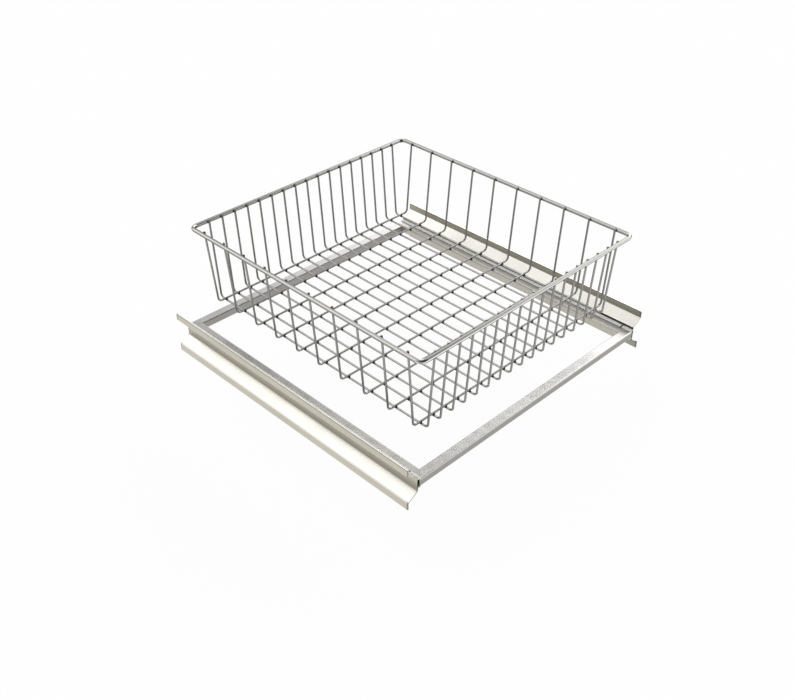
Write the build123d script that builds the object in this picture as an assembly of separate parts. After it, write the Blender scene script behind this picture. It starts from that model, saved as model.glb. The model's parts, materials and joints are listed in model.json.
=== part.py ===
"""Pull-out wardrobe basket: a wire basket lifted out of the tube frame that slides between two wall rails.

X runs from left to right, the front looks along -Y and Z is up. The origin lies on the surface that the
rails stand on, midway between their two walls and midway along their length.
"""
import os
from math import sqrt

from build123d import *

os.makedirs("parts", exist_ok=True)

# Wall rails, bent from sheet to a hat section
OVERALL_WIDTH = 562.0  # over the wall faces of the two rails
RAIL_LENGTH = 550.0
RAIL_DEPTH = 20.0  # from the wall face to the inner face of the web
RAIL_SHEET = 1.2
RAIL_BEND = 2.2  # outside bend radius
LIP_HEIGHT = 13.0
LIP_CORNER_RADIUS = 2.5
FLANGE_RISE = 11.5
WEB_HEIGHT = 26.0

# Plastic C runners on the rail webs
RUNNER_WALL = 1.2
RUNNER_REACH = 6.0  # from the web to the edge of the runner's flanges
RUNNER_PLAY = 0.5  # above and below the frame bar
RUNNER_SIDE_GAP = 1.5  # from the bar to the runner's back

# Nylon front shoes and rear pads
SHOE_LENGTH = 20.0
SHOE_GAP = 1.5  # slit between a shoe and its runner
MOUTH_DEPTH = 8.0  # front stretch of a shoe that has no back
GLIDE_PLAY = 0.3
SHOE_CHAMFER = 0.6
PAD_LENGTH = 30.0
PAD_HEIGHT = 9.0
PAD_END_DISTANCE = 13.5  # from the rear of the frame to the pad
PEG_DIAMETER = 4.0
PEG_SPACING = 15.0

# Sliding frame of mitred tube
BAR_WIDTH = 17.0
BAR_HEIGHT = 14.0
BAR_WALL = 1.5
BAR_EDGE_RADIUS = 2.5
FRAME_OVERHANG = 0.5  # past the ends of the rails
TRAVEL = 365.0

# Pull-out stop rivets
RIVET_HEAD_DIAMETER = 6.0
RIVET_HEAD_HEIGHT = 1.2
RIVET_SHANK_DIAMETER = 4.0
HOLE_CLEARANCE = 0.05

# Wire basket
RIM_DIAMETER = 7.0
RIM_CORNER_RADIUS = 10.5
RIM_INSET = 0.5  # how far the rim's centre line lies inside the frame opening
SEAT_GAP = 0.3  # between the rim and the bars' rounded edges when the basket hangs in the frame
WIRE_DIAMETER = 3.4
WIRE_BEND = 7.0
WIRE_TIP = 2.5  # how far the wires stand above the rim's centre line
WELD_GAP = 0.05
BASKET_DEPTH = 137.0  # from the rim's centre line to the middle of the floor mesh
SIDE_WALL_LEAN = 11.7
END_WALL_LEAN = 10.3
LONG_WIRES = 17
CROSS_WIRES = 10
LONG_WIRE_MARGIN = 15.5  # from the foot of the side walls to the outer long wires
CROSS_WIRE_MARGIN = 14.0  # from the foot of the end walls to the outer cross wires
LIFT = 182.0  # how high the basket is held above its seat

# Places that follow from these sizes
WALL_X = OVERALL_WIDTH / 2
WEB_X = WALL_X - RAIL_DEPTH
RUNNER_BACK_X = WEB_X - RUNNER_WALL
FRAME_X = RUNNER_BACK_X - RUNNER_SIDE_GAP
FRAME_Y = RAIL_LENGTH / 2 + FRAME_OVERHANG
OPENING_X = FRAME_X - BAR_WIDTH
OPENING_Y = FRAME_Y - BAR_WIDTH
RAIL_HEIGHT = 2 * (LIP_HEIGHT + FLANGE_RISE) + WEB_HEIGHT
SLIDE_Z = RAIL_HEIGHT / 2
FRAME_TOP_Z = SLIDE_Z + BAR_HEIGHT / 2
RUNNER_HEIGHT = BAR_HEIGHT + 2 * RUNNER_PLAY + 2 * RUNNER_WALL
SHOE_REAR_Y = SHOE_LENGTH - RAIL_LENGTH / 2
RUNNER_FRONT_Y = SHOE_REAR_Y + SHOE_GAP
PAD_THICKNESS = RUNNER_SIDE_GAP - GLIDE_PLAY
PAD_Y = FRAME_Y - PAD_END_DISTANCE - PAD_LENGTH / 2
RIVET_Y = SHOE_REAR_Y + TRAVEL + RIVET_HEAD_DIAMETER / 2 + GLIDE_PLAY
RIM_X = OPENING_X - RIM_INSET
RIM_Y = OPENING_Y - RIM_INSET
SEAT_REACH = RIM_DIAMETER / 2 + BAR_EDGE_RADIUS + SEAT_GAP
SEAT_RISE = sqrt(SEAT_REACH**2 - (RIM_INSET + BAR_EDGE_RADIUS) ** 2) - BAR_EDGE_RADIUS
RIM_Z = FRAME_TOP_Z + SEAT_RISE + LIFT
FLOOR_Z = RIM_Z - BASKET_DEPTH
WIRE_OFFSET = RIM_DIAMETER / 2 + WIRE_DIAMETER / 2 + WELD_GAP
LAYER_OFFSET = WIRE_DIAMETER / 2 + WELD_GAP / 2
SIDES = {"left": -1, "right": 1}


def save(node, shape):
    """Write one piece to its own file."""
    export_step(shape, f"parts/{node}.step")


def on_side(shape, side):
    """Mirror a piece made for the right side when it belongs on the left."""
    return shape if side > 0 else mirror(shape, Plane.YZ)


def along_y(profile, start, end):
    """Extrude a profile drawn in X and Z from one place to another along Y."""
    return Pos(0, end, 0) * extrude(Plane.XZ * profile, end - start)


def hat_rail():
    """The right wall rail: two lips on the wall, sloping flanges and a web that stands inwards.

    The upper lip is rounded at its ends. The lower lip is square, so that the rail stands on its whole edge.
    """
    web_x = WEB_X + RAIL_SHEET
    points = [
        (WALL_X, RAIL_HEIGHT),
        (WALL_X, RAIL_HEIGHT - LIP_HEIGHT),
        (web_x, RAIL_HEIGHT - LIP_HEIGHT - FLANGE_RISE),
        (web_x, LIP_HEIGHT + FLANGE_RISE),
        (WALL_X, LIP_HEIGHT),
        (WALL_X, 0),
    ]
    wall_face = FilletPolyline(*points, radius=RAIL_BEND)
    section = make_face(offset(wall_face, RAIL_SHEET, side=Side.RIGHT))
    rail = along_y(section, -RAIL_LENGTH / 2, RAIL_LENGTH / 2)
    top_corners = rail.edges().filter_by(Axis.X).group_by(Axis.Z)[-1]
    return fillet(top_corners, LIP_CORNER_RADIUS)


def channel_section(height, opening, back_x):
    """A C section that stands on the right web and opens inwards."""
    outline = Pos(WEB_X - RUNNER_REACH / 2, SLIDE_Z) * Rectangle(RUNNER_REACH, height)
    hollow_width = back_x - (WEB_X - RUNNER_REACH)
    hollow = Pos(back_x - hollow_width / 2, SLIDE_Z) * Rectangle(hollow_width, opening)
    return outline - hollow


def runner():
    """The right runner, which carries the frame's side bar between its flanges."""
    section = channel_section(RUNNER_HEIGHT, BAR_HEIGHT + 2 * RUNNER_PLAY, RUNNER_BACK_X)
    return along_y(section, RUNNER_FRONT_Y, RAIL_LENGTH / 2)


def front_shoe():
    """The right nylon shoe: two tongues that take in the bar, then a back closer to it than the runner's."""
    opening = BAR_HEIGHT + 2 * GLIDE_PLAY
    mouth_rear_y = MOUTH_DEPTH - RAIL_LENGTH / 2
    body = along_y(channel_section(RUNNER_HEIGHT, opening, FRAME_X + GLIDE_PLAY), mouth_rear_y, SHOE_REAR_Y)
    tongues = along_y(channel_section(RUNNER_HEIGHT, opening, WEB_X), -RAIL_LENGTH / 2, mouth_rear_y)
    shoe = body + tongues
    front_edges = shoe.edges().group_by(Axis.Y)[0].filter_by(Axis.X)
    inner = front_edges.filter_by(lambda edge: abs(edge.center().Z - SLIDE_Z) < RUNNER_HEIGHT / 2 - SHOE_CHAMFER)
    return chamfer(inner, SHOE_CHAMFER)


def bar_face(y):
    """A plane on the outer face of the right bar, looking outwards, with its own X along the bar."""
    return Plane(origin=(FRAME_X, y, SLIDE_Z), x_dir=(0, 1, 0), z_dir=(1, 0, 0))


def peg_circles(radius):
    """The outlines of a pad's two pegs, or of their holes."""
    return bar_face(PAD_Y) * Sketch([place * Circle(radius) for place in GridLocations(PEG_SPACING, 0, 2, 1)])


def rear_pad():
    """The right nylon pad on the outer face of the side bar, with two pegs that enter the bar."""
    plate = extrude(bar_face(PAD_Y) * SlotOverall(PAD_LENGTH, PAD_HEIGHT), PAD_THICKNESS)
    return plate + extrude(peg_circles(PEG_DIAMETER / 2), -BAR_WALL)


def stop_rivet():
    """The right rivet, whose low round head meets the shoe when the frame is pulled right out."""
    face = bar_face(RIVET_Y)
    head = extrude(face * Circle(RIVET_HEAD_DIAMETER / 2), RIVET_HEAD_HEIGHT)
    head = fillet(head.edges().group_by(Axis.X)[-1], RIVET_HEAD_HEIGHT / 2)
    return head + extrude(face * Circle(RIVET_SHANK_DIAMETER / 2), -BAR_WALL)


def mitred_bar(length):
    """A tube along X, with its outer side towards -Y and both ends cut to the mitre."""
    outside = Rectangle(BAR_WIDTH, BAR_HEIGHT)
    outside = fillet(outside.vertices(), BAR_EDGE_RADIUS)
    section = outside - offset(outside, -BAR_WALL)
    tube = extrude(Plane.YZ * section, length / 2, both=True)
    half = length / 2
    plan = Polygon(
        (-half, -BAR_WIDTH / 2),
        (half, -BAR_WIDTH / 2),
        (half - BAR_WIDTH, BAR_WIDTH / 2),
        (BAR_WIDTH - half, BAR_WIDTH / 2),
        align=None,
    )
    return tube & extrude(plan, BAR_HEIGHT, both=True)


def end_bar(front):
    """The frame's front or rear bar."""
    turn = 0 if front else 180
    return Rot(0, 0, turn) * Pos(0, BAR_WIDTH / 2 - FRAME_Y, SLIDE_Z) * mitred_bar(2 * FRAME_X)


def side_bar():
    """The frame's right bar, bored through its outer wall for the pad's pegs and the stop rivet."""
    bar = Rot(0, 0, 90) * Pos(0, BAR_WIDTH / 2 - FRAME_X, SLIDE_Z) * mitred_bar(2 * FRAME_Y)
    peg_holes = peg_circles(PEG_DIAMETER / 2 + HOLE_CLEARANCE)
    rivet_hole = bar_face(RIVET_Y) * Circle(RIVET_SHANK_DIAMETER / 2 + HOLE_CLEARANCE)
    return bar - extrude(peg_holes, -BAR_WIDTH / 2) - extrude(rivet_hole, -BAR_WIDTH / 2)


def rim():
    """The basket's rim, one rod bent round to a rounded rectangle."""
    path = Pos(0, 0, RIM_Z) * RectangleRounded(2 * RIM_X, 2 * RIM_Y, RIM_CORNER_RADIUS).face().outer_wire()
    start = Plane(origin=path @ 0, z_dir=path % 0)
    return sweep(start * Circle(RIM_DIAMETER / 2), path=path)


def bent_wire(rim_half, lean, floor_z):
    """A U-shaped wire in the XZ plane, welded inside the rim at both ends."""
    top_half = rim_half - WIRE_OFFSET
    top_z = RIM_Z + WIRE_TIP
    foot_half = top_half - lean
    points = [
        (-top_half, 0, top_z),
        (-foot_half, 0, floor_z),
        (foot_half, 0, floor_z),
        (top_half, 0, top_z),
    ]
    path = FilletPolyline(*points, radius=WIRE_BEND)
    start = Plane(origin=path @ 0, z_dir=path % 0)
    return sweep(start * Circle(WIRE_DIAMETER / 2), path=path)


def spread(count, half):
    """Evenly spaced places from -half to half."""
    return [half * (2 * index / (count - 1) - 1) for index in range(count)]


# Wall rails, runners, shoes and pads
for name, side in SIDES.items():
    save(f"{name}_rail", on_side(hat_rail(), side))
    save(f"{name}_runner", on_side(runner(), side))
    save(f"{name}_front_shoe", on_side(front_shoe(), side))
    save(f"{name}_rear_pad", on_side(rear_pad(), side))
    save(f"frame_{name}_bar", on_side(side_bar(), side))

# Rest of the sliding frame
save("frame_front_bar", end_bar(front=True))
save("frame_rear_bar", end_bar(front=False))
save("frame_stop_rivets", Compound([on_side(stop_rivet(), side) for side in SIDES.values()]))

# Basket
save("basket_rim", rim())
foot_x = RIM_X - WIRE_OFFSET - SIDE_WALL_LEAN
foot_y = RIM_Y - WIRE_OFFSET - END_WALL_LEAN
long_wire = Rot(0, 0, 90) * bent_wire(RIM_Y, END_WALL_LEAN, FLOOR_Z - LAYER_OFFSET)
cross_wire = bent_wire(RIM_X, SIDE_WALL_LEAN, FLOOR_Z + LAYER_OFFSET)
for index, x in enumerate(spread(LONG_WIRES, foot_x - LONG_WIRE_MARGIN), start=1):
    save(f"basket_long_wire_{index:02d}", Pos(x, 0, 0) * long_wire)
for index, y in enumerate(spread(CROSS_WIRES, foot_y - CROSS_WIRE_MARGIN), start=1):
    save(f"basket_cross_wire_{index:02d}", Pos(0, y, 0) * cross_wire)
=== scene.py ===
import json
import math
import random

import bmesh
import bpy
from bpy.props import FloatProperty, FloatVectorProperty, IntProperty, PointerProperty
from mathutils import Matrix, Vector


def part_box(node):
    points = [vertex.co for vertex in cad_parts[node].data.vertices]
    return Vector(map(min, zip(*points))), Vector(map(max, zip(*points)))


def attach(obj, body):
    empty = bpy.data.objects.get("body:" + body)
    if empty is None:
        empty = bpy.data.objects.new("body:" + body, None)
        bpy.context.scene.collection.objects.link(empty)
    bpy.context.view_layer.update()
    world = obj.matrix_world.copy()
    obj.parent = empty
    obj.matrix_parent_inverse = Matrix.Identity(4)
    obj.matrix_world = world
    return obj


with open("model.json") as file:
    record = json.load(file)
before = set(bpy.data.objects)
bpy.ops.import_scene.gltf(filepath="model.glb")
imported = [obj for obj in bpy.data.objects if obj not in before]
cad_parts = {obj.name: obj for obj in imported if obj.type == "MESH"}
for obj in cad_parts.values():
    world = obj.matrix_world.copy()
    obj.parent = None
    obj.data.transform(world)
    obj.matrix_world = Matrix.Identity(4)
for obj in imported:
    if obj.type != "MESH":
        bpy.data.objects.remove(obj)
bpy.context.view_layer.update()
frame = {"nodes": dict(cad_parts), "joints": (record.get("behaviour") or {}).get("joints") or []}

bl_info = {
    "name": "Pull-out wardrobe basket",
    "version": (1, 0, 0),
    "blender": (4, 5, 0),
    "location": "3D View > Sidebar > Basket",
    "description": "Finishes, welds and studio for a wire basket on a sliding tube frame",
    "category": "Object",
}

MM = 0.001
SIDE_NAMES = ("left", "right")
PHOTO_WIDTH = 795  # pixels
PHOTO_FOCAL_LENGTH = 1021  # pixels


# Places read from the frame

def nodes_named(prefix):
    """The names of the pieces that start with a prefix, in order."""
    names = sorted(name for name in frame["nodes"] if name.startswith(prefix))
    if not names:
        raise RuntimeError(f"the frame has no piece whose name starts with {prefix}")
    return names


def middle(node):
    """The centre of a piece's box."""
    low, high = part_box(node)
    return (low + high) / 2


LONG_WIRES = nodes_named("basket_long_wire_")
CROSS_WIRES = nodes_named("basket_cross_wire_")
LONG_X = [middle(name).x for name in LONG_WIRES]
CROSS_Y = [middle(name).y for name in CROSS_WIRES]
LONG_PITCH = LONG_X[1] - LONG_X[0]
CROSS_PITCH = CROSS_Y[1] - CROSS_Y[0]

WIRE_LOW, WIRE_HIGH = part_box(LONG_WIRES[0])
WIRE_RADIUS = (WIRE_HIGH.x - WIRE_LOW.x) / 2
CROSS_WIRE_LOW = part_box(CROSS_WIRES[0])[0]
FLOOR_Z = (WIRE_LOW.z + CROSS_WIRE_LOW.z) / 2 + WIRE_RADIUS  # where the two layers of wires touch

RIM_LOW, RIM_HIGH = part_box("basket_rim")
RIM_RADIUS = (RIM_HIGH.z - RIM_LOW.z) / 2
RIM_X = RIM_HIGH.x - RIM_RADIUS
RIM_Y = RIM_HIGH.y - RIM_RADIUS
RIM_Z = middle("basket_rim").z
CONTACT_X = RIM_X - RIM_RADIUS  # where the wires touch the inside of the rim
CONTACT_Y = RIM_Y - RIM_RADIUS

BAR_LOW, BAR_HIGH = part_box("frame_front_bar")
FRAME_X = BAR_HIGH.x
FRAME_Y = -BAR_LOW.y
RIVETS = middle("frame_stop_rivets")

RAIL_LOW, RAIL_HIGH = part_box("right_rail")
WEB_X = RAIL_LOW.x
RUNNER_LOW, RUNNER_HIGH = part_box("right_runner")
RUNNER_Z = middle("right_runner").z
RUNNER_HALF_HEIGHT = (RUNNER_HIGH.z - RUNNER_LOW.z) / 2
GAP_Y = (RUNNER_LOW.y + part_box("right_front_shoe")[1].y) / 2  # middle of the gap between runner and shoe

LIFT_RANGE = next(joint["range_m"] for joint in frame["joints"] if joint["name"] == "basket_lift")
GROUND_GAP = 1 * MM
GROUND_Z = WIRE_LOW.z + LIFT_RANGE[0] - GROUND_GAP  # just below the basket where it hangs in the frame


# Settings

class BasketLook(bpy.types.PropertyGroup):
    """Finish of the wires and the rim, and the size of their welds."""

    wire_colour: FloatVectorProperty(
        name="Wire colour", description="Drawn steel of the basket wires",
        subtype="COLOR", min=0, max=1, default=(0.345, 0.341, 0.327))
    wire_roughness: FloatProperty(
        name="Wire roughness", description="Least blur of what the wires mirror, to which their marks add",
        subtype="FACTOR", min=0, max=1, default=0.20)
    # Painted shade: how much of their colour the wires keep where they face into the basket.
    inner_brightness: FloatProperty(
        name="Inner brightness",
        description="Share of their colour that the wires keep on the inside of the walls",
        subtype="FACTOR", min=0, max=1, default=0.72)
    rim_colour: FloatVectorProperty(
        name="Rim colour", description="Bright rod of the rim",
        subtype="COLOR", min=0, max=1, default=(0.340, 0.335, 0.320))
    rim_roughness: FloatProperty(
        name="Rim roughness", description="Least blur of what the rim mirrors, to which its marks add",
        subtype="FACTOR", min=0, max=1, default=0.08)
    # The bright lines along the rim are a painted highlight: this sets how many times the rim's colour they
    # are.
    highlight_gain: FloatProperty(
        name="Line polish", description="How many times brighter the polished lines along the rim are",
        min=1, default=3.0)
    weld_colour: FloatVectorProperty(
        name="Weld colour", description="Scale on the weld spots",
        subtype="COLOR", min=0, max=1, default=(0.045, 0.042, 0.038))
    weld_radius: FloatProperty(
        name="Weld radius", description="Half width of one weld spot",
        unit="LENGTH", min=0, default=2.3 * MM)
    weld_height: FloatProperty(
        name="Weld height", description="Half height of one weld spot between its two wires",
        unit="LENGTH", min=0, default=0.75 * MM)
    heat_reach: FloatProperty(
        name="Heat reach", description="How far the dark heat stain runs along a wire from its weld",
        unit="LENGTH", min=0, default=4.2 * MM)
    weld_seed: IntProperty(
        name="Weld seed", description="Starts the random outline of the weld spots", default=7)


class FrameLook(bpy.types.PropertyGroup):
    """Finish of the sliding tube frame."""

    tube_colour: FloatVectorProperty(
        name="Tube colour", description="Satin steel of the frame",
        subtype="COLOR", min=0, max=1, default=(0.385, 0.380, 0.370))
    tube_roughness: FloatProperty(
        name="Tube roughness", description="Least blur of what the frame mirrors, to which its marks add",
        subtype="FACTOR", min=0, max=1, default=0.20)
    mottle_size: FloatProperty(
        name="Mottle size", description="Width of the pale and dark patches on the satin steel",
        unit="LENGTH", min=0.1 * MM, default=4 * MM)


class RailLook(bpy.types.PropertyGroup):
    """Finish of the wall rails, the runners and the nylon glides."""

    rail_colour: FloatVectorProperty(
        name="Rail colour", description="Warm nickel on the rail sheet",
        subtype="COLOR", min=0, max=1, default=(0.590, 0.565, 0.475))
    rail_roughness: FloatProperty(
        name="Rail roughness", description="Least blur of what the rails mirror, to which their marks add",
        subtype="FACTOR", min=0, max=1, default=0.22)
    runner_colour: FloatVectorProperty(
        name="Runner colour", description="White plastic of the runners",
        subtype="COLOR", min=0, max=1, default=(0.95, 0.95, 0.94))
    nylon_colour: FloatVectorProperty(
        name="Nylon colour", description="White nylon of the front shoes and rear pads",
        subtype="COLOR", min=0, max=1, default=(0.95, 0.945, 0.93))


class StudioLook(bpy.types.PropertyGroup):
    """Camera, floor and soft light."""

    camera_azimuth: FloatProperty(
        name="Azimuth", description="Turn of the camera about the vertical, from the front",
        subtype="ANGLE", default=math.radians(-44.813))
    camera_elevation: FloatProperty(
        name="Elevation", description="Height of the camera above the horizon",
        subtype="ANGLE", default=math.radians(35.894))
    camera_distance: FloatProperty(
        name="Distance", description="From the camera to the point that it looks at",
        unit="LENGTH", min=0, default=1.5500)
    camera_target: FloatVectorProperty(
        name="Target", description="Point that the camera looks at",
        subtype="XYZ", unit="LENGTH", default=(-0.1394, -0.1117, 0.1250))
    floor_colour: FloatVectorProperty(
        name="Floor colour", description="Pale studio floor",
        subtype="COLOR", min=0, max=1, default=(0.88, 0.88, 0.88))
    floor_size: FloatProperty(
        name="Floor size", description="Side of the square floor",
        unit="LENGTH", min=0, default=40.0)
    floor_white: FloatProperty(
        name="Floor white",
        description="Share of the floor that is plain white to the eye and in reflections",
        subtype="FACTOR", min=0, max=1, default=0.95)
    dome_level: FloatProperty(
        name="Dome level", description="Light of the plain part of the studio dome",
        min=0, default=0.80)
    camera_side: FloatProperty(
        name="Camera side", description="Share of the dome's light that is missing on the side of the camera",
        subtype="FACTOR", min=0, max=1, default=0.85)
    right_window: FloatProperty(
        name="Right window", description="Light of the long low window on the right",
        min=0, default=2.3)
    rear_lamp: FloatProperty(
        name="Rear lamp", description="Light of the soft round lamp at the back on the left",
        min=0, default=1.2)


# Shader maths

class Term:
    """One output of a shader node. An expression on terms adds the Math nodes that it needs."""

    def __init__(self, graph, socket):
        self.graph = graph
        self.socket = socket

    def output(self, name):
        """Another output of the same node."""
        return Term(self.graph, self.socket.node.outputs[name])

    def __add__(self, other):
        return self.graph.math("ADD", self, other)

    def __radd__(self, other):
        return self.graph.math("ADD", other, self)

    def __sub__(self, other):
        return self.graph.math("SUBTRACT", self, other)

    def __rsub__(self, other):
        return self.graph.math("SUBTRACT", other, self)

    def __mul__(self, other):
        return self.graph.math("MULTIPLY", self, other)

    def __rmul__(self, other):
        return self.graph.math("MULTIPLY", other, self)

    def __truediv__(self, other):
        return self.graph.math("DIVIDE", self, other)

    def __rtruediv__(self, other):
        return self.graph.math("DIVIDE", other, self)

    def __pow__(self, other):
        return self.graph.math("POWER", self, other)

    def __rpow__(self, other):
        return self.graph.math("POWER", other, self)

    def __abs__(self):
        return self.graph.math("ABSOLUTE", self)


class Graph:
    """The node tree of one material or of the world."""

    # The sockets of a Mix node that are used for colours
    MIX_FACTOR = 0
    MIX_FIRST = 6
    MIX_SECOND = 7
    MIX_RESULT = 2

    def __init__(self, tree):
        self.tree = tree
        tree.nodes.clear()

    def node(self, kind, settings=None, sockets=None, output=0):
        """Add a node: first its settings, then the values or links of its sockets."""
        node = self.tree.nodes.new(kind)
        for name, value in (settings or {}).items():
            setattr(node, name, value)
        for name, value in (sockets or {}).items():
            if isinstance(value, Term):
                self.tree.links.new(value.socket, node.inputs[name])
            else:
                node.inputs[name].default_value = value
        return Term(self, node.outputs[output]) if node.outputs else None

    def math(self, operation, *values):
        """One Math node."""
        return self.node("ShaderNodeMath", {"operation": operation}, dict(enumerate(values)))

    def place(self):
        """The place on the piece, in metres in the frame."""
        return self.node("ShaderNodeTexCoord", output="Object")

    def normal(self):
        """The way that the surface faces."""
        return self.node("ShaderNodeNewGeometry", output="Normal")

    def parts(self, vector):
        """The three coordinates of a vector."""
        x = self.node("ShaderNodeSeparateXYZ", sockets={"Vector": vector})
        return x, x.output("Y"), x.output("Z")

    def noise(self, place, cells, detail=2.0, roughness=0.5):
        """Noise with a number of cells per metre, or with one number each along X, Y and Z."""
        stretch = cells if isinstance(cells, tuple) else (cells, cells, cells)
        stretched = self.node("ShaderNodeVectorMath", {"operation": "MULTIPLY"}, {0: place, 1: stretch})
        sockets = {"Vector": stretched, "Scale": 1.0, "Detail": detail, "Roughness": roughness}
        return self.node("ShaderNodeTexNoise", {"noise_dimensions": "3D"}, sockets)

    def ramp(self, value, start, end, first, last):
        """First before start, last after end, smooth between them."""
        sockets = {"Value": value, "From Min": start, "From Max": end, "To Min": first, "To Max": last}
        return self.node("ShaderNodeMapRange", {"interpolation_type": "SMOOTHSTEP"}, sockets)

    def ease(self, value, start, end):
        """0 before start, 1 after end, smooth between them."""
        return self.ramp(value, start, end, 0.0, 1.0)

    def fade(self, value, start, end):
        """1 before start, 0 after end, smooth between them."""
        return self.ramp(value, start, end, 1.0, 0.0)

    def mix(self, blend_type, factor, first, second):
        """One Mix node for colours."""
        sockets = {self.MIX_FACTOR: factor, self.MIX_FIRST: opaque(first), self.MIX_SECOND: opaque(second)}
        return self.node("ShaderNodeMix", {"data_type": "RGBA", "blend_type": blend_type}, sockets,
                         output=self.MIX_RESULT)

    def blend(self, factor, first, second):
        """The first colour where the factor is 0, the second where it is 1."""
        return self.mix("MIX", factor, first, second)

    def tint(self, colour, tint):
        """The product of two colours."""
        return self.mix("MULTIPLY", 1.0, colour, tint)

    def layered(self, colour, *layers):
        """A colour under layers of others. Each layer is a mask, the most that it covers, and its colour."""
        for mask, cover, layer in layers:
            colour = self.blend(mask * cover, colour, layer)
        return colour

    def nearest(self, value, first, pitch):
        """The distance to the nearest of a row of evenly spaced places."""
        turns = (value - (first - pitch / 2)) / pitch
        return abs(self.math("FRACT", turns) - 0.5) * pitch

    def distance(self, first, second):
        """The length of a step of first one way and second across it."""
        return (first * first + second * second) ** 0.5

    def bump(self, height, depth):
        """The normal of a surface with relief."""
        return self.node("ShaderNodeBump", sockets={"Strength": 1.0, "Distance": depth, "Height": height})

    def surface(self, sockets):
        """End the material in a Principled shader."""
        shader = self.node("ShaderNodeBsdfPrincipled", sockets=sockets)
        self.node("ShaderNodeOutputMaterial", sockets={"Surface": shader})


def opaque(colour):
    """A colour with an alpha of 1, or the term that it already is."""
    return colour if isinstance(colour, Term) else (*colour, 1.0)


def scaled(colour, share):
    """A colour made darker or lighter by a share."""
    return tuple(min(1.0, channel * share) for channel in colour)


def new_material(name):
    """A material and its empty node tree."""
    material = bpy.data.materials.new(name)
    material.use_nodes = True
    return material, Graph(material.node_tree)


def finish_nodes(names, material):
    """Give CAD pieces one material."""
    for name in names:
        mesh = frame["nodes"][name].data
        mesh.materials.clear()
        mesh.materials.append(material)


# Noise in cells per metre: one number, or one each along X, Y and Z

FINE_LINE = 9000.0  # across a drawn line
SLOW_LINE = 45.0  # along a drawn line
WIRE_PATCHES = 160.0
RIM_HAZE = 130.0
WELD_GRAIN = 1500.0
FINE_BRUSHING = 2600.0  # across the tube
SLOW_BRUSHING = 30.0  # along the tube
TUBE_CLOUD = 22.0
RAIL_ROLLING = (2200.0, 14.0, 2200.0)
RAIL_CLOUD = (26.0, 9.0, 26.0)
RAIL_SPECKLE = 420.0
EXTRUDED_GRAIN = (1800.0, 20.0, 1800.0)
MOULDED_GRAIN = 900.0
PLASTIC_CLOUD = 60.0
RIVET_DENTS = 700.0
FLOOR_GRAIN = 3.0


# Basket wires, rim and welds

BLACK = (0.0, 0.0, 0.0)
HEAT_BROWN = (0.075, 0.060, 0.045)
HEAT_BLACK = (0.020, 0.019, 0.018)
BROWN_FADE = (0.45, 1.0)  # shares of the heat's reach where the brown starts to fade and where it ends
BLACK_FADE = (0.25, 0.6)
STAIN_RAGGEDNESS = 1.6 * MM  # how far the outline of a stain wanders
FRONT_TIPS = (-CONTACT_Y, -0.9 * CONTACT_Y)  # reach of the wiping at the front, along Y
FRONT_WIPE = 2.0 * MM  # heat stain that hands have wiped off the wire tips there
FACING_IN = (-0.6, -0.1)  # outward part of the normal, from facing into the basket to along the wall: where the painted shade on the inside fades out
ROD_EDGE_TINT = (0.35, 0.35, 0.35, 1.0)  # how bright drawn rod mirrors at a glancing angle

# Painted highlight lines and painted shade on the rim rod: places round it, in radii outwards and down from
# its centre line
SIDE_LINE = 0.30  # painted highlight line along the left and right runs
END_LINE = 0.75  # painted highlight line along the front and rear runs
OUTER_LINE_FADE = (0.2, 0.5)  # half width of these lines
INNER_LINE_FADE = (-1.36, -1.20)  # painted highlight line on the inside of the front and rear runs
# where the painted shade low on the front and rear runs starts
UNDERSIDE_SHADE_START = (1.0, 1.2)
END_RUN_START = (-3.0, -1.0)  # from the centre line of the front or rear run, where the bends turn into it
SIDE_HIGHLIGHT = 0.25  # share of the painted highlight on the left and right runs
INNER_HIGHLIGHT = 0.6  # share of the painted highlight on the inside


def heat_stain(graph, from_weld, look, shares):
    """1 at a weld, 0 where its heat stain has ended."""
    start, end = shares
    return graph.fade(from_weld, start * look.heat_reach, end * look.heat_reach)


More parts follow.
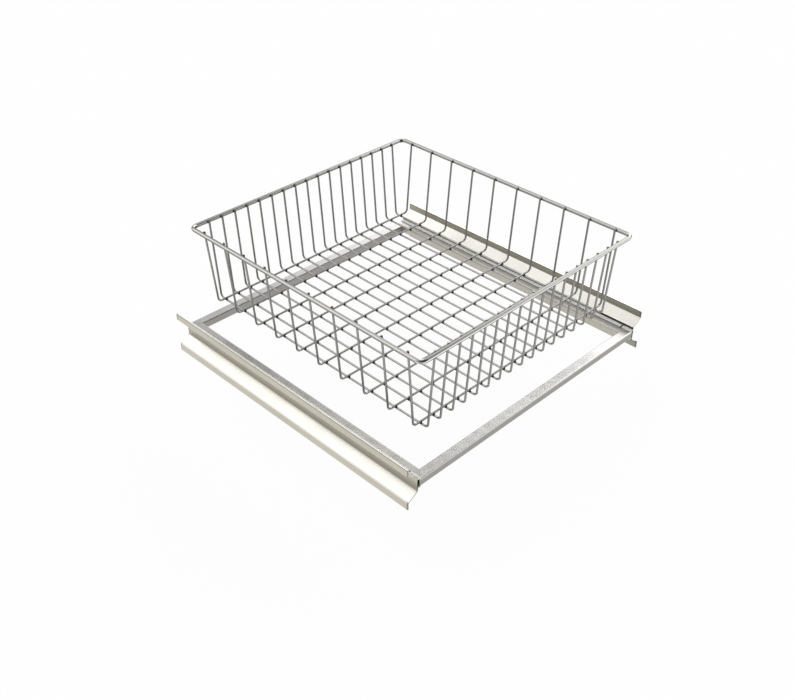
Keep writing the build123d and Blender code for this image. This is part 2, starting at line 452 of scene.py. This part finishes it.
def drawn_wire(name, look, lengthwise):
    """Drawn steel wire: fine lines along the wire, dull patches, painted shade on the inside of the basket's
    walls, and heat stains beside its welds, partly wiped off the front tips of the long wires."""
    material, graph = new_material(name)
    place = graph.place()
    x, y, z = graph.parts(place)
    normal_x, normal_y, _ = graph.parts(graph.normal())
    if lengthwise:
        along, facing, contact = y, normal_y, CONTACT_Y
        line_cells = (FINE_LINE, SLOW_LINE, SLOW_LINE)
        from_crossing = graph.nearest(y, CROSS_Y[0], CROSS_PITCH)
        wiped = graph.fade(y, *FRONT_TIPS) * FRONT_WIPE
    else:
        along, facing, contact = x, normal_x, CONTACT_X
        line_cells = (SLOW_LINE, FINE_LINE, SLOW_LINE)
        from_crossing = graph.nearest(x, LONG_X[0], LONG_PITCH)
        wiped = 0.0
    lines = graph.noise(place, line_cells, detail=3.0)
    patches = graph.noise(place, WIRE_PATCHES, detail=3.0, roughness=0.6)
    from_floor_weld = graph.distance(from_crossing, z - FLOOR_Z)
    from_rim_weld = graph.distance(abs(along) - contact, z - RIM_Z) + wiped
    from_weld = graph.math("MINIMUM", from_floor_weld, from_rim_weld) + (patches - 0.5) * STAIN_RAGGEDNESS
    brown = heat_stain(graph, from_weld, look, BROWN_FADE)
    black = heat_stain(graph, from_weld, look, BLACK_FADE)
    # Painted shade: the wires are darker where they face into the basket.
    inside = graph.fade(facing * graph.math("SIGN", along), *FACING_IN)
    steel = graph.blend(lines, scaled(look.wire_colour, 0.82), scaled(look.wire_colour, 1.2))
    graph.surface({
        "Base Color": graph.layered(
            steel,
            (inside, 1.0 - look.inner_brightness, BLACK),
            (graph.ease(patches, start=0.35, end=0.75), 0.35, scaled(look.wire_colour, 0.75)),
            (brown, 1.0, HEAT_BROWN),
            (black, 1.0, HEAT_BLACK)),
        "Metallic": 1.0,
        "Specular Tint": ROD_EDGE_TINT,
        "Roughness": look.wire_roughness + lines * 0.10 + patches * 0.08 + brown * 0.2,
        "Normal": graph.bump(lines, depth=0.008 * MM),
    })
    return material


def rim_rod(look):
    """Bright rod: drawn lines round the rim, a light haze, painted highlight lines along it, painted shade
    low on the front and rear runs, and heat stains at the wires."""
    material, graph = new_material("bright_rim_rod")
    place = graph.place()
    x, y, z = graph.parts(place)
    lines = graph.noise(place, (SLOW_LINE, SLOW_LINE, FINE_LINE), detail=3.0)
    haze = graph.noise(place, RIM_HAZE, detail=4.0, roughness=0.6)
    from_long_wire = graph.distance(graph.nearest(x, LONG_X[0], LONG_PITCH), abs(y) - CONTACT_Y)
    from_cross_wire = graph.distance(graph.nearest(y, CROSS_Y[0], CROSS_PITCH), abs(x) - CONTACT_X)
    from_wire = graph.math("MINIMUM", from_long_wire, from_cross_wire)
    from_weld = graph.distance(from_wire, z - RIM_Z) + (haze - 0.5) * STAIN_RAGGEDNESS
    brown = heat_stain(graph, from_weld, look, BROWN_FADE)
    outwards = graph.math("MAXIMUM", abs(x) - RIM_X, abs(y) - RIM_Y)
    round_rod = (outwards - (z - RIM_Z)) / RIM_RADIUS
    end_run = graph.ease((abs(y) - RIM_Y) / RIM_RADIUS, *END_RUN_START)
    line = SIDE_LINE + (END_LINE - SIDE_LINE) * end_run
    # Painted highlight lines at fixed places round the rod, strongest on the front and rear runs.
    outer_highlight = graph.fade(abs(round_rod - line), *OUTER_LINE_FADE)
    inner_highlight = graph.fade(round_rod, *INNER_LINE_FADE) * end_run
    rim_highlight = outer_highlight * (SIDE_HIGHLIGHT + (1.0 - SIDE_HIGHLIGHT) * end_run) + inner_highlight * INNER_HIGHLIGHT
    # Painted shade low on the front and rear runs.
    underside_shade = graph.ease(round_rod, *UNDERSIDE_SHADE_START) * end_run
    graph.surface({
        "Base Color": graph.layered(
            look.rim_colour,
            (rim_highlight, 1.0, scaled(look.rim_colour, look.highlight_gain)),
            (underside_shade, 0.9, scaled(look.rim_colour, 0.5)),
            (lines, 0.2, scaled(look.rim_colour, 0.5)),
            (graph.ease(haze, start=0.4, end=0.8), 0.3, scaled(look.rim_colour, 0.8)),
            (brown, 1.0, HEAT_BROWN)),
        "Metallic": 1.0,
        "Specular Tint": ROD_EDGE_TINT,
        "Roughness": look.rim_roughness + lines * 0.05 + haze * 0.08 + brown * 0.25,
        "Normal": graph.bump(lines, depth=0.005 * MM),
    })
    return material


def weld_scale(look):
    """Squeezed-out weld metal under a dark scale, with small bright beads."""
    material, graph = new_material("weld_scale")
    grain = graph.noise(graph.place(), WELD_GRAIN, detail=4.0, roughness=0.65)
    beads = graph.ease(grain, start=0.62, end=0.75)
    scale = graph.blend(grain, scaled(look.weld_colour, 0.5), scaled(look.weld_colour, 1.5))
    graph.surface({
        "Base Color": graph.layered(scale, (beads, 0.5, scaled(look.wire_colour, 0.8))),
        "Metallic": 0.85,
        "Roughness": 0.58 - beads * 0.25,
        "Normal": graph.bump(grain, depth=0.12 * MM),
    })
    return material


# Frame tubes and rivets

END_LIGHT_TINTS = ((0.84, 0.83, 0.80), (1.18, 1.18, 1.18))  # painted light on the faces and the top of the front and rear tubes: darker faces, lighter top
SIDE_LIGHT_TINTS = ((1.26, 1.22, 1.10), (1.07, 1.06, 1.03))  # painted light on the faces and the top of the side tubes: warmer, lighter faces
EDGE_HIGHLIGHT_FADE = (1.4 * MM, 2.9 * MM)  # painted highlight, from the upper outer edge of the front and rear tubes
SEAM_FADE = (0.15 * MM, 0.45 * MM)  # from the line of a mitre
RIVET_RING = 16000.0  # radians of a turned ring per metre


def satin_tube(name, look, along_x):
    """Satin steel tube: brushed along its length, mottled, with a fine seam at each mitre, and with painted
    light: its own tint on the faces and on the top, and a painted highlight along the upper outer edges of
    the end tubes."""
    material, graph = new_material(name)
    place = graph.place()
    x, y, z = graph.parts(place)
    _, _, normal_z = graph.parts(graph.normal())
    if along_x:
        brush_cells, light_tints = (SLOW_BRUSHING, FINE_BRUSHING, FINE_BRUSHING), END_LIGHT_TINTS
    else:
        brush_cells, light_tints = (FINE_BRUSHING, SLOW_BRUSHING, FINE_BRUSHING), SIDE_LIGHT_TINTS
    brushing = graph.noise(place, brush_cells, detail=3.0, roughness=0.6)
    mottle = graph.noise(place, 1.0 / look.mottle_size, detail=3.0, roughness=0.6)
    cloud = graph.noise(place, TUBE_CLOUD, detail=2.0)
    # Painted highlight along the upper outer edges of the end tubes.
    edge_highlight = graph.fade(graph.distance(FRAME_Y - abs(y), BAR_HIGH.z - z), *EDGE_HIGHLIGHT_FADE)
    seam = graph.fade(abs((abs(x) - FRAME_X) - (abs(y) - FRAME_Y)), *SEAM_FADE)
    # Painted light: the top and the faces each get their own tint.
    on_top = graph.ease(normal_z, start=0.2, end=0.9)
    steel = graph.layered(
        graph.blend(brushing, scaled(look.tube_colour, 0.84), scaled(look.tube_colour, 1.16)),
        (graph.ease(mottle, start=0.3, end=0.7), 0.4, scaled(look.tube_colour, 1.32)),
        (graph.ease(cloud, start=0.35, end=0.7), 0.22, scaled(look.tube_colour, 0.75)))
    graph.surface({
        "Base Color": graph.layered(
            graph.tint(steel, graph.blend(on_top, *light_tints)),
            (edge_highlight, 0.8, scaled(look.tube_colour, 2.0)),
            (seam, 0.7, scaled(look.tube_colour, 0.3))),
        "Metallic": 1.0,
        "Roughness": look.tube_roughness + brushing * 0.10 + mottle * 0.10,
        "Normal": graph.bump(brushing * 0.5 + mottle - seam * 1.5, depth=0.035 * MM),
    })
    return material


def plated_rivet(look):
    """Plated rivet: turned rings on the head and small dents from setting it."""
    material, graph = new_material("plated_rivet")
    place = graph.place()
    _, y, z = graph.parts(place)
    rings = graph.math("SINE", graph.distance(y - RIVETS.y, z - RIVETS.z) * RIVET_RING) * 0.5 + 0.5
    dents = graph.noise(place, RIVET_DENTS, detail=3.0)
    graph.surface({
        "Base Color": graph.blend(dents, scaled(look.tube_colour, 1.1), scaled(look.tube_colour, 1.5)),
        "Metallic": 1.0,
        "Roughness": 0.25 + dents * 0.2,
        "Normal": graph.bump(rings * 0.4 + dents, depth=0.04 * MM),
    })
    return material


# Rails, runners and nylon glides

PLAIN_TINT = (1.0, 1.0, 1.0)
FLANGE_HIGHLIGHT_TINT = (1.06, 1.09, 1.20)  # painted highlight: a whiter tint on the rails' sloping flanges
CUT_SHEET = (0.03, 0.03, 0.028)
# Greasy dark band along the web, which also stands in for the shade above and below the runner.
GREASE_AND_SHADE = (0.030, 0.027, 0.022)
# Painted shade in the gap between runner and shoe.
GAP_SHADE = (0.05, 0.048, 0.044)

# Soft edges of the marks: where each starts and where it ends
LIP_FADE = (1.4 * MM, 2.0 * MM)  # from the wall
# Painted shade on the inner faces of the lips: where it starts, from the wall
LIP_INNER_SHADE_START = (0.8 * MM, 1.1 * MM)
LIP_EDGE_SHADE_START = (0.5 * MM, 0.9 * MM)  # painted shade line near the lips' edges, from the upper edge or the end of a lip
LIP_EDGE_SHADE_FADE = (1.6 * MM, 2.4 * MM)
TOP_EDGE_HIGHLIGHT_FADE = (0.3 * MM, 0.8 * MM)  # painted highlight, from the upper edge
CUT_END_FADE = (0.05 * MM, 0.15 * MM)  # from the end of the rail
WEB_SHADE_FADE = (1.5 * MM, 4.0 * MM)  # painted shade, from the web
GREASE_AND_SHADE_FADE = (0.15 * MM, 0.6 * MM)
GREASE_AND_SHADE_START = (0.9 * MM, 1.3 * MM)  # greasy band with painted shade, above and below the runner
RUNNER_TOP = (-1.0 * MM, 1.0 * MM)  # from below the top of the runner to above it
PALE_CUT = 0.75  # share of its darkness that a cut end loses above the runner, as a painted highlight
GAP_SHADE_FADE = (1.3 * MM, 1.9 * MM)  # painted shade, from the middle of the gap


def nickel_rail(look):
    """Warm nickel sheet: rolling lines along the rail, faint clouds and dark cut ends, with painted light on
    it: whiter flanges, a highlight along the upper edges, shade on the inner faces of the lips and in lines
    along their edges, paler cut ends above the runner, shade low on the web, and a greasy dark band along the
    web above and below the runner, partly painted shade."""
    material, graph = new_material("warm_nickel_rail")
    place = graph.place()
    x, y, z = graph.parts(place)
    _, _, normal_z = graph.parts(graph.normal())
    rolling = graph.noise(place, RAIL_ROLLING, detail=3.0, roughness=0.6)
    cloud = graph.noise(place, RAIL_CLOUD, detail=3.0, roughness=0.55)
    speckle = graph.noise(place, RAIL_SPECKLE, detail=2.0)
    from_wall = RAIL_HIGH.x - abs(x)
    from_web = abs(x) - WEB_X
    from_end = RAIL_HIGH.y - abs(y)
    from_top = RAIL_HIGH.z - z
    from_edge = graph.math("MINIMUM", from_top, from_end)
    from_runner = abs(z - RUNNER_Z) - RUNNER_HALF_HEIGHT
    # Painted highlight: the sloping flanges are tinted whiter.
    sloping = graph.ease(abs(normal_z), start=0.2, end=0.5)
    on_lip = graph.fade(from_wall, *LIP_FADE)
    # Painted shade on the inner faces of the lips.
    lip_inner_shade = on_lip * graph.ease(from_wall, *LIP_INNER_SHADE_START)
    # Painted shade line just inside the lips' upper edges and ends.
    lip_edge_shade = on_lip * graph.ease(from_edge, *LIP_EDGE_SHADE_START) * graph.fade(from_edge, *LIP_EDGE_SHADE_FADE)
    # Painted highlight along the upper edges.
    top_edge_highlight = graph.fade(from_top, *TOP_EDGE_HIGHLIGHT_FADE)
    above_runner = graph.ease(z - RUNNER_HIGH.z, *RUNNER_TOP)
    # The cut ends are paler above the runner: painted highlight.
    cut_end = graph.fade(from_end, *CUT_END_FADE) * (1.0 - PALE_CUT * above_runner)
    # Painted shade on the web, darker towards the bottom.
    web_shade = graph.fade(from_web, *WEB_SHADE_FADE) * graph.fade(z, RUNNER_LOW.z, RUNNER_HIGH.z)
    # Greasy dark band beside the runner, partly painted shade.
    grease_and_shade = graph.fade(from_web, *GREASE_AND_SHADE_FADE) * graph.ease(from_runner, *GREASE_AND_SHADE_START)
    nickel = graph.layered(
        graph.blend(rolling, scaled(look.rail_colour, 0.90), scaled(look.rail_colour, 1.10)),
        (graph.ease(cloud, start=0.35, end=0.75), 0.3, scaled(look.rail_colour, 0.80)),
        (graph.ease(speckle, start=0.55, end=0.8), 0.25, scaled(look.rail_colour, 1.2)))
    graph.surface({
        "Base Color": graph.layered(
            graph.tint(nickel, graph.blend(sloping, PLAIN_TINT, FLANGE_HIGHLIGHT_TINT)),
            (web_shade, 0.6, scaled(look.rail_colour, 0.5)),
            (lip_inner_shade, 0.7, scaled(look.rail_colour, 0.4)),
            (lip_edge_shade, 0.9, scaled(look.rail_colour, 0.2)),
            (top_edge_highlight, 0.7, scaled(look.rail_colour, 1.5)),
            (cut_end, 1.0, CUT_SHEET),
            (grease_and_shade, 1.0, GREASE_AND_SHADE)),
        "Metallic": 1.0 - grease_and_shade * 0.6,
        "Roughness": look.rail_roughness + rolling * 0.10 + cloud * 0.08 + grease_and_shade * 0.2,
        "Normal": graph.bump(rolling + speckle * 0.5, depth=0.02 * MM),
    })
    return material


def white_plastic(name, colour, grain_cells):
    """White plastic: drawn lines or a fine grain, faint clouds, and painted shade at the gap between runner
    and shoe."""
    material, graph = new_material(name)
    place = graph.place()
    _, y, _ = graph.parts(place)
    grain = graph.noise(place, grain_cells, detail=3.0)
    cloud = graph.noise(place, PLASTIC_CLOUD, detail=2.0)
    # Painted shade in the gap between runner and shoe.
    gap_shade = graph.fade(abs(y - GAP_Y), *GAP_SHADE_FADE)
    graph.surface({
        "Base Color": graph.layered(
            graph.blend(grain, scaled(colour, 0.98), scaled(colour, 1.02)),
            (cloud, 0.1, scaled(colour, 0.9)),
            (gap_shade, 0.7, GAP_SHADE)),
        "Roughness": 0.38 + grain * 0.12 + cloud * 0.08,
        "Normal": graph.bump(grain, depth=0.012 * MM),
    })
    return material


# Weld spots

SPOKES = 16
LAYERS = 6
SPOT_SPREAD = (0.9, 1.1)  # least and most of the set radius and height that a spot has
SPOT_RAGGEDNESS = 0.06  # share of the radius that the edge wanders for one random step


def add_weld(mesh, place, normal, along, look, draw):
    """Add one closed lens of squeezed-out metal, with a ragged edge, to a bmesh."""
    across = normal.cross(along)
    steps = [draw.uniform(-1, 1) for _ in range(SPOKES)]
    radius = look.weld_radius * draw.uniform(*SPOT_SPREAD)
    height = look.weld_height * draw.uniform(*SPOT_SPREAD)
    reaches = []
    for spoke in range(SPOKES):
        smoothed = steps[spoke - 1] + steps[spoke] * 2 + steps[(spoke + 1) % SPOKES]
        reaches.append(radius * (1 + SPOT_RAGGEDNESS * smoothed))
    rings = []
    for layer in range(1, LAYERS):
        lift = math.pi * (0.5 - layer / LAYERS)
        level = place + normal * height * math.sin(lift)
        ring = []
        for spoke, reach in enumerate(reaches):
            turn = 2 * math.pi * spoke / SPOKES
            outwards = along * math.cos(turn) + across * math.sin(turn)
            ring.append(mesh.verts.new(level + outwards * reach * math.cos(lift)))
        rings.append(ring)
    top = mesh.verts.new(place + normal * height)
    bottom = mesh.verts.new(place - normal * height)
    for spoke in range(SPOKES):
        following = (spoke + 1) % SPOKES
        mesh.faces.new((top, rings[0][spoke], rings[0][following]))
        mesh.faces.new((bottom, rings[-1][following], rings[-1][spoke]))
        for upper, lower in zip(rings, rings[1:]):
            mesh.faces.new((upper[spoke], lower[spoke], lower[following], upper[following]))


def weld_group(name, spots, material, look):
    """Make one piece of many weld spots, which moves with the basket."""
    draw = random.Random(f"{name} {look.weld_seed}")
    mesh = bmesh.new()
    for place, normal, along in spots:
        add_weld(mesh, place, normal, along, look, draw)
    bmesh.ops.recalc_face_normals(mesh, faces=mesh.faces)
    for face in mesh.faces:
        face.smooth = True
    data = bpy.data.meshes.new(name)
    mesh.to_mesh(data)
    mesh.free()
    data.materials.append(material)
    piece = bpy.data.objects.new(name, data)
    bpy.context.scene.collection.objects.link(piece)
    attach(piece, "basket")


def floor_spots():
    """Where each cross wire lies on each long wire: the place, the way to the upper wire and a way across."""
    up, along = Vector((0, 0, 1)), Vector((1, 0, 0))
    return [(Vector((x, y, FLOOR_Z)), up, along) for y in CROSS_Y for x in LONG_X]


def rim_spots():
    """Where each end of a wire touches the inside of the rim: the place, the way to the rim and a way
    across."""
    up = Vector((0, 0, 1))
    spots = []
    for side in (-1, 1):
        spots += [(Vector((x, side * CONTACT_Y, RIM_Z)), Vector((0, side, 0)), up) for x in LONG_X]
        spots += [(Vector((side * CONTACT_X, y, RIM_Z)), Vector((side, 0, 0)), up) for y in CROSS_Y]
    return spots


# Studio

# Places on the dome, in degrees: turn from the back wall towards the right, and height above the horizon
RIGHT_WINDOW = (84, 40, 14, 43)  # middle and half width of its turn, lower and upper edge
SIDE_BLUR = 11  # half the width of the window's soft left and right edges
EDGE_BLUR = 6  # half the width of its soft lower and upper edges
REAR_LAMP = (-34, 43)
REAR_LAMP_FALL = (8, 42)  # how far from its middle the lamp starts to fade, and where it ends
CAMERA_SIDE = (185, 50)
CAMERA_SIDE_FALL = (36, 46)
HORIZON_TOP = 18  # height where the white horizon has faded into the dome


def cosine(degrees):
    return math.cos(math.radians(degrees))


def sine(degrees):
    return math.sin(math.radians(degrees))


def floor_material(look):
    """Pale floor with a faint grain, mostly plain white to the eye, which keeps the object's shadow."""
    material, graph = new_material("studio_floor")
    grain = graph.noise(graph.place(), FLOOR_GRAIN, detail=2.0)
    colour = graph.blend(grain, scaled(look.floor_colour, 0.99), scaled(look.floor_colour, 1.01))
    paper = graph.node("ShaderNodeBsdfPrincipled", sockets={
        "Base Color": colour, "Roughness": 1.0, "Specular IOR Level": 0.0})
    white = graph.node("ShaderNodeEmission", sockets={"Color": (1, 1, 1, 1), "Strength": 1.0})
    camera_ray = graph.node("ShaderNodeLightPath", output="Is Camera Ray")
    mirrored = camera_ray.output("Is Glossy Ray") + camera_ray.output("Is Transmission Ray")
    seen = graph.math("MINIMUM", camera_ray + mirrored, 1.0)
    mixed = graph.node("ShaderNodeMixShader", sockets={0: seen * look.floor_white, 1: paper, 2: white})
    graph.node("ShaderNodeOutputMaterial", sockets={"Surface": mixed})
    return material


def dome_window(graph, direction, place):
    """1 inside a soft-edged window of the dome, 0 outside it."""
    middle_turn, half_width, low, high = place
    x, y, height = graph.parts(direction)
    facing = (x * sine(middle_turn) + y * cosine(middle_turn)) / graph.distance(x, y)
    across = graph.ease(facing, cosine(half_width + SIDE_BLUR), cosine(half_width - SIDE_BLUR))
    above = graph.ease(height, sine(low - EDGE_BLUR), sine(low + EDGE_BLUR))
    below = graph.fade(height, sine(high - EDGE_BLUR), sine(high + EDGE_BLUR))
    return across * above * below


def dome_spot(graph, direction, place, fall):
    """1 round a place on the dome, 0 far from it."""
    turn, height = place
    near, far = fall
    middle_way = (sine(turn) * cosine(height), cosine(turn) * cosine(height), sine(height))
    facing = graph.node("ShaderNodeVectorMath", {"operation": "DOT_PRODUCT"}, {0: direction, 1: middle_way},
                        output="Value")
    return graph.ease(facing, cosine(far), cosine(near))


def studio_dome(look):
    """A pale dome with a white horizon, a darker camera side, a soft window and a soft round lamp. The camera
    itself sees plain white."""
    world = bpy.data.worlds.new("studio_dome")
    world.use_nodes = True
    graph = Graph(world.node_tree)
    direction = graph.node("ShaderNodeTexCoord", output="Generated")
    _, _, height = graph.parts(direction)
    light = look.dome_level + graph.fade(height, 0.0, sine(HORIZON_TOP)) * (1.0 - look.dome_level)
    light = light * (1.0 - dome_spot(graph, direction, CAMERA_SIDE, CAMERA_SIDE_FALL) * look.camera_side)
    light = light + dome_window(graph, direction, RIGHT_WINDOW) * look.right_window
    light = light + dome_spot(graph, direction, REAR_LAMP, REAR_LAMP_FALL) * look.rear_lamp
    camera_ray = graph.node("ShaderNodeLightPath", output="Is Camera Ray")
    shown = light * (1.0 - camera_ray) + camera_ray
    background = graph.node("ShaderNodeBackground", sockets={"Color": (1, 1, 1, 1), "Strength": shown})
    graph.node("ShaderNodeOutputWorld", sockets={"Surface": background})
    return world


def studio_floor(look):
    """A square floor just below the lowest place of the basket."""
    half = look.floor_size / 2
    data = bpy.data.meshes.new("studio_floor")
    corners = [(x, y, GROUND_Z) for x, y in ((-half, -half), (half, -half), (half, half), (-half, half))]
    data.from_pydata(corners, [], [(0, 1, 2, 3)])
    data.materials.append(floor_material(look))
    floor = bpy.data.objects.new("studio_floor", data)
    bpy.context.scene.collection.objects.link(floor)


def studio_camera(look):
    """A camera at the photograph's angle and distance."""
    data = bpy.data.cameras.new("studio_camera")
    data.lens = data.sensor_width * PHOTO_FOCAL_LENGTH / PHOTO_WIDTH
    camera = bpy.data.objects.new("studio_camera", data)
    level = math.cos(look.camera_elevation)
    back = Vector((
        math.sin(look.camera_azimuth) * level,
        -math.cos(look.camera_azimuth) * level,
        math.sin(look.camera_elevation),
    ))
    camera.location = Vector(look.camera_target) + back * look.camera_distance
    camera.rotation_euler = back.to_track_quat("Z", "Y").to_euler()
    bpy.context.scene.collection.objects.link(camera)
    bpy.context.scene.camera = camera


# Operators

class BASKET_OT_wires(bpy.types.Operator):
    """Give the basket's wires their drawn steel"""
    bl_idname = "basket.wires"
    bl_label = "Finish wires"

    def execute(self, context):
        look = context.scene.basket_look
        finish_nodes(LONG_WIRES, drawn_wire("drawn_long_wire", look, lengthwise=True))
        finish_nodes(CROSS_WIRES, drawn_wire("drawn_cross_wire", look, lengthwise=False))
        return {"FINISHED"}


class BASKET_OT_rim(bpy.types.Operator):
    """Give the basket's rim its bright rod"""
    bl_idname = "basket.rim"
    bl_label = "Finish rim"

    def execute(self, context):
        finish_nodes(["basket_rim"], rim_rod(context.scene.basket_look))
        return {"FINISHED"}


class BASKET_OT_welds(bpy.types.Operator):
    """Add the weld spots where wires cross and where they meet the rim"""
    bl_idname = "basket.welds"
    bl_label = "Add welds"

    def execute(self, context):
        look = context.scene.basket_look
        material = weld_scale(look)
        weld_group("basket_floor_welds", floor_spots(), material, look)
        weld_group("basket_rim_welds", rim_spots(), material, look)
        return {"FINISHED"}


class BASKET_OT_tubes(bpy.types.Operator):
    """Give the sliding frame's tubes their satin steel"""
    bl_idname = "basket.tubes"
    bl_label = "Finish tubes"

    def execute(self, context):
        look = context.scene.frame_look
        end_bars = ["frame_front_bar", "frame_rear_bar"]
        side_bars = [f"frame_{side}_bar" for side in SIDE_NAMES]
        finish_nodes(end_bars, satin_tube("satin_end_tube", look, along_x=True))
        finish_nodes(side_bars, satin_tube("satin_side_tube", look, along_x=False))
        return {"FINISHED"}


class BASKET_OT_rivets(bpy.types.Operator):
    """Give the frame's stop rivets their plated steel"""
    bl_idname = "basket.rivets"
    bl_label = "Finish rivets"

    def execute(self, context):
        finish_nodes(["frame_stop_rivets"], plated_rivet(context.scene.frame_look))
        return {"FINISHED"}


class BASKET_OT_rails(bpy.types.Operator):
    """Give the wall rails their warm nickel"""
    bl_idname = "basket.rails"
    bl_label = "Finish rails"

    def execute(self, context):
        finish_nodes([f"{side}_rail" for side in SIDE_NAMES], nickel_rail(context.scene.rail_look))
        return {"FINISHED"}


class BASKET_OT_glides(bpy.types.Operator):
    """Give the runners, front shoes and rear pads their white plastic"""
    bl_idname = "basket.glides"
    bl_label = "Finish glides"

    def execute(self, context):
        look = context.scene.rail_look
        runners = [f"{side}_runner" for side in SIDE_NAMES]
        glides = [f"{side}_{kind}" for side in SIDE_NAMES for kind in ("front_shoe", "rear_pad")]
        finish_nodes(runners, white_plastic("extruded_runner", look.runner_colour, EXTRUDED_GRAIN))
        finish_nodes(glides, white_plastic("moulded_nylon", look.nylon_colour, MOULDED_GRAIN))
        return {"FINISHED"}


class BASKET_OT_studio(bpy.types.Operator):
    """Set up the floor, the soft light and the camera"""
    bl_idname = "basket.studio"
    bl_label = "Set up studio"

    def execute(self, context):
        look = context.scene.studio_look
        studio_floor(look)
        studio_camera(look)
        context.scene.world = studio_dome(look)
        context.scene.view_settings.view_transform = "Standard"
        return {"FINISHED"}


OPERATORS = (
    BASKET_OT_wires,
    BASKET_OT_rim,
    BASKET_OT_welds,
    BASKET_OT_tubes,
    BASKET_OT_rivets,
    BASKET_OT_rails,
    BASKET_OT_glides,
    BASKET_OT_studio,
)
LOOKS = {
    "basket_look": BasketLook,
    "frame_look": FrameLook,
    "rail_look": RailLook,
    "studio_look": StudioLook,
}


class BASKET_PT_sidebar(bpy.types.Panel):
    """Settings and steps of the wardrobe basket"""
    bl_idname = "BASKET_PT_sidebar"
    bl_label = "Wardrobe basket"
    bl_space_type = "VIEW_3D"
    bl_region_type = "UI"
    bl_category = "Basket"

    def draw(self, context):
        for name, look in LOOKS.items():
            box = self.layout.box()
            for setting in look.__annotations__:
                box.prop(getattr(context.scene, name), setting)
        for operator in OPERATORS:
            self.layout.operator(operator.bl_idname)


def register():
    for kind in (*LOOKS.values(), *OPERATORS, BASKET_PT_sidebar):
        bpy.utils.register_class(kind)
    for name, look in LOOKS.items():
        setattr(bpy.types.Scene, name, PointerProperty(type=look))


def unregister():
    for name in LOOKS:
        delattr(bpy.types.Scene, name)
    for kind in (BASKET_PT_sidebar, *reversed(OPERATORS), *reversed(LOOKS.values())):
        bpy.utils.unregister_class(kind)


def main():
    register()
    bpy.ops.basket.wires()
    bpy.ops.basket.rim()
    bpy.ops.basket.welds()
    bpy.ops.basket.tubes()
    bpy.ops.basket.rivets()
    bpy.ops.basket.rails()
    bpy.ops.basket.glides()
    bpy.ops.basket.studio()


if __name__ == "__main__":
    main()
